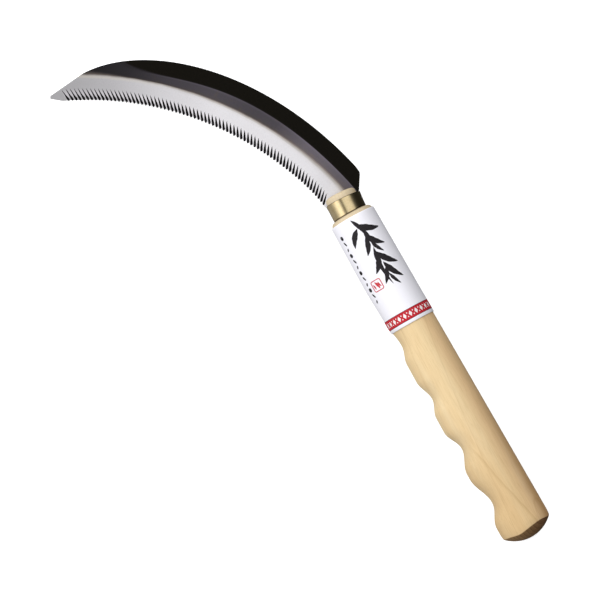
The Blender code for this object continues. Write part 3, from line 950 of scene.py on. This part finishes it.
def blade_material():
    n = Nodes("forged_and_ground_steel")
    across, along, groove, under = (n.attribute(k) for k in ("across", "along", "groove", "under"))
    where = n.coordinates()
    soft = n.noise(where, 0.16, 2.0)
    fine = n.noise(where, 1.4, 3.0)
    # The wheel's line wanders very slightly where the bevel starts.
    wander = n.math("MULTIPLY_ADD", soft, 0.05, -0.025)
    place_in = n.math("ADD", across, wander)
    # The grind runs out crisply near the tip and softly near the heel.
    crisp = n.ramp(along, [(0.0, 1.0), (0.20, 0.90), (0.45, 0.62), (0.70, 0.52), (0.86, 0.40), (1.0, 0.34)])
    from_grind = n.math("MULTIPLY", n.math("SUBTRACT", place_in, 1.0), n.math("MULTIPLY", crisp, 1.6))
    third = n.math("DIVIDE", n.math("ADD", from_grind, 1.0), 3.0)
    colour = n.ramp(third, [
        (0.000, (0.965, 0.945, 0.970)),
        (0.270, (0.975, 0.955, 0.980)),
        (0.304, (0.920, 0.890, 0.900)),
        (0.324, (0.560, 0.515, 0.485)),
        (0.340, (0.210, 0.178, 0.155)),
        (0.368, (0.096, 0.083, 0.079)),
        (0.450, (0.086, 0.077, 0.083)),
        (1.000, (0.088, 0.079, 0.090)),
    ])
    # Satin lines left by the wheel run across the bevel.
    lines_at = n.add("ShaderNodeCombineXYZ")
    n.link(n.math("MULTIPLY", along, 520.0), lines_at.inputs[0])
    n.link(n.math("MULTIPLY", across, 2.2), lines_at.inputs[1])
    lines = n.noise(lines_at.outputs[0], 1.0, 4.0, 0.6)
    streak = n.math("MULTIPLY_ADD", lines, 0.14, 0.93)
    colour = n.mix(1.0, colour, n.ramp(streak, [(0.0, 0.0), (1.0, 1.0)]), "MULTIPLY")
    mottle = n.ramp(n.noise(where, 1.9, 3.0, 0.65), [(0.30, 0.935), (0.50, 1.0), (0.70, 1.035)])
    colour = n.mix(1.0, colour, mottle, "MULTIPLY")
    # Blotchy heat colour on the slope. Painted shade and reflection: the ground bevel and the slope are painted darker
    # towards the tip, and the slope is painted brighter towards the heel.
    slope_zone = n.range(place_in, 1.00, 1.10, 0.0, 1.0)
    tint = n.ramp(n.noise(where, 0.30, 3.0), [(0.35, (0.96, 0.96, 1.0)), (0.55, (0.97, 0.94, 1.05)), (0.72, (1.06, 1.01, 0.95))])
    colour = n.mix(slope_zone, colour, n.mix(1.0, colour, tint, "MULTIPLY"))
    # Painted shade on the bevel and painted reflection on the slope, set by share along the blade.
    painted_bevel_shade_along = n.ramp(along, [(0.0, 0.50), (0.10, 0.50), (0.22, 0.60), (0.36, 0.79), (0.55, 0.97), (0.88, 0.98), (0.96, 0.90), (1.0, 0.89)])
    painted_slope_reflection_along = n.ramp(along, [
        (0.0, 0.085), (0.10, 0.09), (0.16, 0.11), (0.26, 0.26), (0.38, 0.62), (0.52, 0.92), (0.64, 0.80), (0.72, 0.88), (0.83, 1.72), (0.90, 1.72), (1.0, 1.35),
    ])
    colour = n.mix(1.0, colour, n.mix(slope_zone, painted_bevel_shade_along, painted_slope_reflection_along), "MULTIPLY")
    # A faint warm line under the grind at the tip.
    warm = n.math("MULTIPLY", n.range(place_in, 0.83, 0.90, 0.0, 1.0), n.range(along, 0.12, 0.40, 1.0, 0.0))
    colour = n.mix(n.math("MULTIPLY", warm, n.range(place_in, 0.93, 0.99, 1.0, 0.0)), colour, n.mix(1.0, colour, (1.20, 1.15, 1.04), "MULTIPLY"))
    # Black forge scale from the ridge up, sharply bordered.
    scale_noise = n.noise(where, 0.9, 5.0, 0.65)
    black = n.ramp(scale_noise, [(0.3, (0.0034, 0.0028, 0.0016)), (0.7, (0.0056, 0.0045, 0.0028))])
    # Painted highlight: a faint lighter line just below the ridge.
    painted_ridge_highlight = n.range(across, 1.80, 1.95, 0.0, 1.0)
    colour = n.mix(n.math("MULTIPLY", painted_ridge_highlight, 0.8), colour, n.mix(1.0, colour, (1.16, 1.16, 1.20), "MULTIPLY"))
    blur = n.ramp(along, [(0.0, 0.55), (0.20, 0.45), (0.34, 0.04), (0.40, 0.0), (1.0, 0.0)])
    at_ridge = n.math("DIVIDE", n.math("SUBTRACT", across, n.math("SUBTRACT", 1.985, blur)), n.math("MULTIPLY_ADD", blur, 1.8, 0.045), clamp=True)
    colour = n.mix(at_ridge, colour, black)
    # Reverse side: the same scale, with a narrow ground strip behind the teeth.
    scale = n.ramp(scale_noise, [(0.3, (0.006, 0.0055, 0.0045)), (0.7, (0.022, 0.020, 0.018))])
    strip = n.range(place_in, 0.22, 0.27, 1.0, 0.0)
    reverse = n.mix(strip, scale, n.mix(lines, (0.50, 0.49, 0.50), (0.64, 0.63, 0.65)))
    back = n.range(under, 0.45, 0.55, 0.0, 1.0)
    colour = n.mix(back, colour, reverse)
    # Painted highlight: the bevel beside each saw groove is painted brighter, most towards the tip.
    painted_groove_rim_highlight = n.math("MULTIPLY", n.range(groove, -0.50, -0.05, 1.0, 0.0), n.range(along, 0.15, 0.50, 1.0, 0.25))
    colour = n.mix(painted_groove_rim_highlight, colour, n.mix(1.0, colour, (1.35, 1.33, 1.36), "MULTIPLY"))
    # Painted shade: the hollow of each saw groove is painted near black.
    dark = n.range(groove, 0.22, 0.60, 0.0, 1.0)
    colour = n.mix(dark, colour, (0.0042, 0.0035, 0.0042))
    bright = n.math("MULTIPLY", n.range(place_in, 0.94, 1.05, 1.0, 0.0), n.math("SUBTRACT", 1.0, dark))
    bright = n.blend(back, bright, strip)
    sheen = n.math("MULTIPLY", slope_zone, n.range(across, 1.98, 2.02, 1.0, 0.0))
    metallic = n.blend(bright, n.math("MULTIPLY", sheen, 0.55), 0.72)
    rough = n.blend(bright, n.math("MULTIPLY_ADD", fine, 0.16, 0.30), n.math("MULTIPLY_ADD", lines, 0.22, 0.36))
    specular = n.blend(n.math("MAXIMUM", bright, sheen), 0.05, 0.35)
    specular = n.blend(dark, specular, 0.05)
    height = n.math("ADD", n.math("MULTIPLY", lines, bright), n.math("MULTIPLY", fine, 0.30))
    return n.set(
        Base_Color=colour, Metallic=metallic, Roughness=rough, Specular_IOR_Level=specular,
        Normal=n.bump(height, 0.10, 0.00012),
    )


def wood_material(name, grain=1.0):
    n = Nodes(name)
    mark = n.attribute("mark")
    where = n.coordinates()
    # Growth rings round a pith that lies outside the handle and runs askew.
    ring_at = n.coordinates(rotation=(0.0, 0.045, 0.085), location=(0.0, 31.0, -22.0))
    bend = n.noise(n.coordinates(scale=(0.25, 1.0, 1.0)), 0.035, 2.0)
    split = n.add("ShaderNodeSeparateXYZ")
    n.link(ring_at, split.inputs[0])
    y2 = n.math("MULTIPLY", split.outputs[1], split.outputs[1])
    z2 = n.math("MULTIPLY", split.outputs[2], split.outputs[2])
    away = n.math("SQRT", n.math("ADD", y2, z2))
    away = n.math("ADD", away, n.math("MULTIPLY_ADD", bend, 4.0, -2.0))
    ring = n.math("FRACT", n.math("DIVIDE", away, 13.0))
    late = n.ramp(ring, [(0.0, 0.0), (0.88, 0.03), (0.962, 0.40), (0.978, 1.0), (0.99, 0.15), (1.0, 0.0)])
    small = n.math("FRACT", n.math("DIVIDE", away, 1.9))
    small = n.ramp(small, [(0.0, 0.0), (0.7, 0.15), (0.93, 1.0), (1.0, 0.0)])
    fibres = n.noise(n.coordinates(scale=(0.045, 1.0, 1.0)), 2.6, 4.0, 0.62)
    long_tone = n.noise(n.coordinates(scale=(0.07, 1.0, 1.0)), 0.16, 2.0)
    flecks = n.noise(n.coordinates(scale=(0.22, 1.0, 1.0)), 3.4, 2.0, 0.5)
    colour = n.ramp(long_tone, [(0.30, (0.80, 0.60, 0.335)), (0.50, (0.835, 0.640, 0.365)), (0.70, (0.865, 0.685, 0.415))])
    colour = n.mix(n.math("MULTIPLY", small, 0.06 * grain), colour, (0.66, 0.44, 0.20))
    colour = n.mix(n.math("MULTIPLY", late, 0.26 * grain), colour, (0.50, 0.31, 0.13))
    streak = n.ramp(fibres, [(0.28, (0.90, 0.87, 0.82)), (0.50, (1.0, 1.0, 1.0)), (0.74, (1.05, 1.045, 1.03))])
    colour = n.mix(1.0, colour, streak, "MULTIPLY")
    pores = n.ramp(flecks, [(0.28, 1.0), (0.34, 0.0)])
    colour = n.mix(n.math("MULTIPLY", pores, 0.22), colour, (0.52, 0.34, 0.15))
    # A touch warmer and darker towards the butt.
    axis = n.add("ShaderNodeSeparateXYZ")
    n.link(where, axis.inputs[0])
    butt = n.range(axis.outputs[0], 0.0, 120.0, 1.0, 0.0)
    colour = n.mix(n.math("MULTIPLY", butt, 0.45), colour, n.mix(1.0, colour, (0.915, 0.865, 0.80), "MULTIPLY"))
    near = n.math("MULTIPLY", n.range(axis.outputs[0], 18.0, 78.0, 1.0, 0.0), n.range(axis.outputs[1], -8.5, -1.0, 0.15, 1.0))
    colour = n.mix(near, colour, n.mix(1.0, colour, (0.90, 0.855, 0.805), "MULTIPLY"))
    # Painted shade tint: the shaded back (-Y) side is painted a little redder.
    warm = n.range(axis.outputs[1], -3.0, -8.0, 0.0, 1.0)
    colour = n.mix(warm, colour, n.mix(1.0, colour, (1.02, 0.955, 0.93), "MULTIPLY"))
    # Painted shade: the far back (-Y) edge is painted darker, most towards the butt.
    painted_back_shade = n.math("MULTIPLY", n.range(axis.outputs[1], -8.0, -12.5, 0.0, 1.0), n.range(axis.outputs[0], -5.0, 125.0, 1.0, 0.12))
    painted_back_shade = n.math("MULTIPLY", painted_back_shade, n.math("MULTIPLY_ADD", long_tone, 0.8, 0.6))
    colour = n.mix(painted_back_shade, colour, n.mix(1.0, colour, (0.74, 0.64, 0.55), "MULTIPLY"))
    # One darker growth line runs down the face, from the third finger groove
    # to the butt.
    sag = n.math("MULTIPLY_ADD", n.noise(n.coordinates(scale=(1.0, 0.0, 0.0)), 0.055, 2.0), 2.2, -1.1)
    line_y = n.math("ADD", n.math("MULTIPLY_ADD", axis.outputs[0], 0.226, -6.75), sag)
    off_line = n.math("SUBTRACT", axis.outputs[1], line_y)
    thin = n.math("MULTIPLY", n.range(off_line, -0.30, 0.12, 0.0, 1.0), n.range(off_line, 0.12, 1.5, 1.0, 0.0))
    thin = n.math("MULTIPLY", thin, n.range(axis.outputs[0], 46.0, 54.0, 1.0, 0.0))
    thin = n.math("MULTIPLY", thin, n.range(axis.outputs[2], 1.0, 4.0, 0.0, 1.0))
    colour = n.mix(n.math("MULTIPLY", thin, 0.42 * grain), colour, (0.53, 0.335, 0.145))
    # End grain on the butt: dark, with rings and open pores.
    end_rings = n.math("FRACT", n.math("DIVIDE", away, 2.1))
    end = n.ramp(end_rings, [(0.0, (0.490, 0.295, 0.133)), (0.7, (0.420, 0.243, 0.102)), (0.93, (0.26, 0.145, 0.062)), (1.0, (0.470, 0.278, 0.120))])
    speck = n.noise(where, 3.0, 3.0, 0.6)
    end = n.mix(n.ramp(speck, [(0.35, 0.7), (0.55, 0.0)]), end, (0.17, 0.094, 0.044))
    # Painted shade: the end grain is painted darker towards the back (-Y) side.
    end = n.mix(n.range(axis.outputs[1], 6.0, -12.0, 0.0, 1.0), end, n.mix(1.0, end, (0.58, 0.50, 0.54), "MULTIPLY"))
    colour = n.mix(n.math("MULTIPLY", mark, 1.0, clamp=True), colour, end)
    pale = n.range(mark, -0.45, 0.0, 1.0, 0.0)
    colour = n.mix(pale, colour, n.mix(small, (0.65, 0.54, 0.37), (0.614, 0.495, 0.318)))
    height = n.math("ADD", n.math("MULTIPLY", fibres, 0.7), n.math("MULTIPLY", pores, -0.6))
    return n.set(
        Base_Color=colour, Roughness=n.math("MULTIPLY_ADD", fibres, 0.16, 0.46), Specular_IOR_Level=0.28,
        Normal=n.bump(height, 0.22, 0.00010), Subsurface_Weight=0.0,
    )


def brass_material():
    n = Nodes("brass")
    where = n.coordinates()
    turned = n.noise(n.coordinates(scale=(1.0, 0.02, 0.02)), 6.0, 4.0, 0.7)
    tarnish = n.noise(where, 0.35, 4.0, 0.6)
    colour = n.ramp(tarnish, [(0.30, (0.78, 0.61, 0.335)), (0.55, (0.84, 0.685, 0.40)), (0.75, (0.80, 0.61, 0.33))])
    axis = n.add("ShaderNodeSeparateXYZ")
    n.link(where, axis.inputs[0])
    # Painted dark reflection: the back (-Y) of the ring is painted dark brown, with a ragged border.
    painted_back_dark_reflection = n.range(n.math("ADD", axis.outputs[1], n.math("MULTIPLY_ADD", tarnish, 1.6, -0.8)), -5.4, -3.3, 1.0, 0.0)
    colour = n.mix(n.math("MULTIPLY", painted_back_dark_reflection, 0.35), colour, (0.060, 0.042, 0.020))
    # Painted shadow: a dark line round the lower rim, where the ring meets the shoulder, and a fainter one round the
    # upper rim.
    painted_rim_shadows = n.math("MAXIMUM", n.range(axis.outputs[0], 190.85, 191.25, 1.0, 0.0), n.range(n.math("MULTIPLY_ADD", axis.outputs[1], -0.055, axis.outputs[0]), 199.0, 199.4, 0.0, 0.55))
    colour = n.mix(n.math("MULTIPLY", painted_rim_shadows, 0.9), colour, (0.075, 0.048, 0.018))
    return n.set(
        Base_Color=colour, Metallic=1.0, Roughness=n.math("MULTIPLY_ADD", turned, 0.10, 0.11),
        Normal=n.bump(turned, 0.16, 0.00006),
    )


def paper_material(name, colour_a, colour_b, roughness=0.5):
    n = Nodes(name)
    where = n.coordinates()
    fibres = n.noise(n.coordinates(scale=(1.0, 0.6, 1.0)), 4.5, 5.0, 0.7)
    cloud = n.noise(where, 0.10, 3.0)
    colour = n.mix(cloud, colour_a, colour_b)
    colour = n.mix(1.0, colour, n.ramp(fibres, [(0.3, 0.965), (0.7, 1.0)]), "MULTIPLY")
    return n.set(
        Base_Color=colour, Roughness=n.math("MULTIPLY_ADD", fibres, 0.15, roughness - 0.07), Specular_IOR_Level=0.35,
        Normal=n.bump(fibres, 0.10, 0.00008),
    )


def ink_material(name, dark, light, roughness):
    n = Nodes(name)
    where = n.coordinates()
    pigment = n.noise(where, 2.2, 4.0, 0.7)
    colour = n.mix(n.ramp(pigment, [(0.35, 0.0), (0.75, 1.0)]), dark, light)
    return n.set(
        Base_Color=colour, Roughness=n.math("MULTIPLY_ADD", pigment, 0.2, roughness), Specular_IOR_Level=0.2,
        Normal=n.bump(pigment, 0.15, 0.00004),
    )


def nail_material():
    n = Nodes("drawn_steel")
    where = n.coordinates(scale=(1.0, 1.0, 0.05))
    lines = n.noise(where, 7.0, 4.0, 0.7)
    rust = n.noise(n.coordinates(), 0.8, 4.0, 0.6)
    colour = n.ramp(rust, [(0.45, (0.50, 0.50, 0.51)), (0.70, (0.33, 0.27, 0.22))])
    return n.set(
        Base_Color=colour, Metallic=0.95, Roughness=n.math("MULTIPLY_ADD", lines, 0.2, 0.32),
        Normal=n.bump(lines, 0.2, 0.00006),
    )


def floor_material():
    n = Nodes("pale_sweep")
    where = n.coordinates()
    soft = n.noise(where, 0.004, 2.0)
    colour = n.ramp(soft, [(0.3, (0.93, 0.93, 0.93)), (0.7, (0.95, 0.95, 0.95))])
    return n.set(
        Base_Color=colour, Roughness=0.9, Specular_IOR_Level=0.1,
        Emission_Color=(1.0, 1.0, 1.0), Emission_Strength=0.60,
        Normal=n.bump(soft, 0.02, 0.001),
    )


# -------------------------------------------------------------------- pieces
def give(obj, material):
    obj.data.materials.clear()
    obj.data.materials.append(material)


steel = blade_material()
wood = wood_material("pale_wood")
brass = brass_material()
paper = paper_material("white_paper", (0.948, 0.940, 0.992), (0.928, 0.920, 0.982))
black_ink = ink_material("black_ink", (0.012, 0.010, 0.012), (0.030, 0.026, 0.030), 0.45)
red_ink = ink_material("red_ink", (0.50, 0.016, 0.028), (0.60, 0.035, 0.050), 0.45)
rule_ink = ink_material("dark_red_ink", (0.13, 0.012, 0.014), (0.20, 0.02, 0.022), 0.45)
stamp_ink = ink_material("stamp_ink", (0.52, 0.030, 0.045), (0.66, 0.11, 0.12), 0.45)
white_ink = ink_material("white_ink", (0.86, 0.80, 0.80), (0.92, 0.88, 0.88), 0.45)
nail = nail_material()

blade = make_blade()
handle = make_handle()
ferrule = make_ferrule()
sleeve = make_sleeve()
ink, stamp, ribbon, rules, lozenges = make_prints()

for piece, material, node, slot in (
    (blade, steel, "blade", "blade"),
    (handle, wood, "handle", "handle"),
    (ferrule, brass, "ferrule", "ferrule"),
    (sleeve, paper, "paper_sleeve", "paper_sleeve"),
    (ink, black_ink, None, "paper_sleeve"),
    (stamp, stamp_ink, None, "paper_sleeve"),
    (ribbon, red_ink, None, "paper_sleeve"),
    (rules[0], rule_ink, None, "paper_sleeve"),
    (rules[1], rule_ink, None, "paper_sleeve"),
    (lozenges, white_ink, None, "paper_sleeve"),
):
    give(piece, material)
    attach(piece, "root")
    if node:
        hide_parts(node)

for name, material in (("blade", steel), ("handle", wood), ("ferrule", brass), ("paper_sleeve", paper), ("tang_pin", nail)):
    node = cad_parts[name]
    if node.data.materials:
        for k in range(len(node.data.materials)):
            node.data.materials[k] = material
    else:
        node.data.materials.append(material)


# -------------------------------------------------- floor, light and camera
def look(obj, position, back, up):
    """Places obj at a point with its -Z pointing away from back."""
    back = Vector(back).normalized()
    right = Vector(up).cross(back).normalized()
    up = back.cross(right)
    obj.matrix_world = Matrix((
        (right.x, up.x, back.x, position[0]),
        (right.y, up.y, back.y, position[1]),
        (right.z, up.z, back.z, position[2]),
        (0, 0, 0, 1),
    ))


floor_mesh = bpy.data.meshes.new("floor")
floor_mesh.from_pydata([(-6, -6, 0), (6, -6, 0), (6, 6, 0), (-6, 6, 0)], [], [(0, 1, 2, 3)])
floor = bpy.data.objects.new("floor", floor_mesh)
bpy.context.scene.collection.objects.link(floor)
floor.location.z = CAD_LOW.z - 0.0003
give(floor, floor_material())
floor.visible_diffuse = False
floor.visible_glossy = False


def make_world():
    """A studio tent: bright overhead and on the cutting side, with a dark
    cloth behind the back of the handle and beyond the butt."""
    world = bpy.data.worlds.new("studio")
    world.use_nodes = True
    tree = world.node_tree
    tree.nodes.clear()
    out = tree.nodes.new("ShaderNodeOutputWorld")
    shade_node = tree.nodes.new("ShaderNodeBackground")
    where = tree.nodes.new("ShaderNodeTexCoord")
    split = tree.nodes.new("ShaderNodeSeparateXYZ")
    tree.links.new(where.outputs["Generated"], split.inputs[0])

    def math_node(operation, a, b=0.0, clamp=False):
        node = tree.nodes.new("ShaderNodeMath")
        node.operation = operation
        node.use_clamp = clamp
        for k, v in enumerate((a, b)):
            if isinstance(v, bpy.types.NodeSocket):
                tree.links.new(v, node.inputs[k])
            else:
                node.inputs[k].default_value = v
        return node.outputs[0]

    # Angle round the handle's axis: 0.5 overhead, 1 down past the cutting side.
    angle = math_node("ARCTAN2", split.outputs[1], split.outputs[2])
    turn = math_node("MULTIPLY_ADD", angle, 1 / math.tau)
    turn.node.inputs[2].default_value = 0.5
    ramp = tree.nodes.new("ShaderNodeValToRGB")
    stops = (
        (0.000, 0.08), (0.100, 0.05), (0.178, 0.03), (0.275, 0.03), (0.314, 0.06), (0.353, 0.18), (0.386, 0.70),
        (0.419, 0.92), (0.483, 0.94), (0.515, 0.84), (0.534, 0.44), (0.549, 0.20), (0.564, 0.34), (0.582, 0.66), (0.602, 1.20), (0.614, 1.36), (0.652, 1.38),
        (0.688, 0.98), (0.727, 0.53), (0.769, 0.36), (0.822, 0.37), (0.900, 0.33), (1.000, 0.20),
    )
    elements = ramp.color_ramp.elements
    while len(elements) > 1:
        elements.remove(elements[-1])
    for k, (at, v) in enumerate(stops):
        element = elements[0] if k == 0 else elements.new(at)
        element.position = at
        element.color = (v, v, v * 1.01, 1.0)
    tree.links.new(turn, ramp.inputs[0])
    # Darker beyond the butt.
    end = tree.nodes.new("ShaderNodeMapRange")
    tree.links.new(split.outputs[0], end.inputs[0])
    for k, v in enumerate((-0.95, -0.20, 0.10, 1.0)):
        end.inputs[k + 1].default_value = v
    end.interpolation_type = "SMOOTHSTEP"
    scaled = tree.nodes.new("ShaderNodeVectorMath")
    scaled.operation = "SCALE"
    tree.links.new(ramp.outputs[0], scaled.inputs[0])
    tree.links.new(end.outputs[0], scaled.inputs["Scale"])
    tree.links.new(scaled.outputs[0], shade_node.inputs["Color"])
    shade_node.inputs["Strength"].default_value = 1.0
    tree.links.new(shade_node.outputs[0], out.inputs["Surface"])
    return world


bpy.context.scene.world = make_world()


def area_light(name, centre_mm, towards_mm, size, power, colour=(1, 1, 1)):
    data = bpy.data.lights.new(name, "AREA")
    data.shape = "RECTANGLE"
    data.size, data.size_y = size
    data.energy = power
    data.color = colour
    lamp = bpy.data.objects.new(name, data)
    bpy.context.scene.collection.objects.link(lamp)
    position = Vector(place(centre_mm))
    target = Vector(place(towards_mm))
    look(lamp, position, position - target, (1.0, 0.02, 0.0))
    lamp.visible_glossy = False
    return lamp


area_light("key_softbox", (525.0, 500.0, 480.0), (100.0, 0.0, 0.0), (0.40, 0.40), 2.39)
area_light("side_fill", (560.0, -400.0, 500.0), (100.0, 0.0, 0.0), (0.60, 0.60), 2.55)

# The camera looks down on the flat sickle, with the blade at the upper left.
CAMERA_MM = (73.656, 45.545, 1431.0)
RIGHT = (-0.48765558, -0.87249601, -0.03070424)
DOWN = (-0.8707717, 0.48862124, -0.05482637)
FORWARD = (0.06283853, 0.0, -0.99802371)
camera_data = bpy.data.cameras.new("camera")
camera_data.sensor_fit = "HORIZONTAL"
camera_data.sensor_width = 36.0
camera_data.lens = 162.3208
camera_data.clip_start = 0.01
camera_data.clip_end = 60.0
camera = bpy.data.objects.new("camera", camera_data)
bpy.context.scene.collection.objects.link(camera)
position = place(CAMERA_MM)
camera.matrix_world = Matrix((
    (RIGHT[0], -DOWN[0], -FORWARD[0], position[0]),
    (RIGHT[1], -DOWN[1], -FORWARD[1], position[1]),
    (RIGHT[2], -DOWN[2], -FORWARD[2], position[2]),
    (0, 0, 0, 1),
))
bpy.context.scene.camera = camera
bpy.context.scene.view_settings.view_transform = "Standard"
bpy.context.scene.view_settings.look = "None"
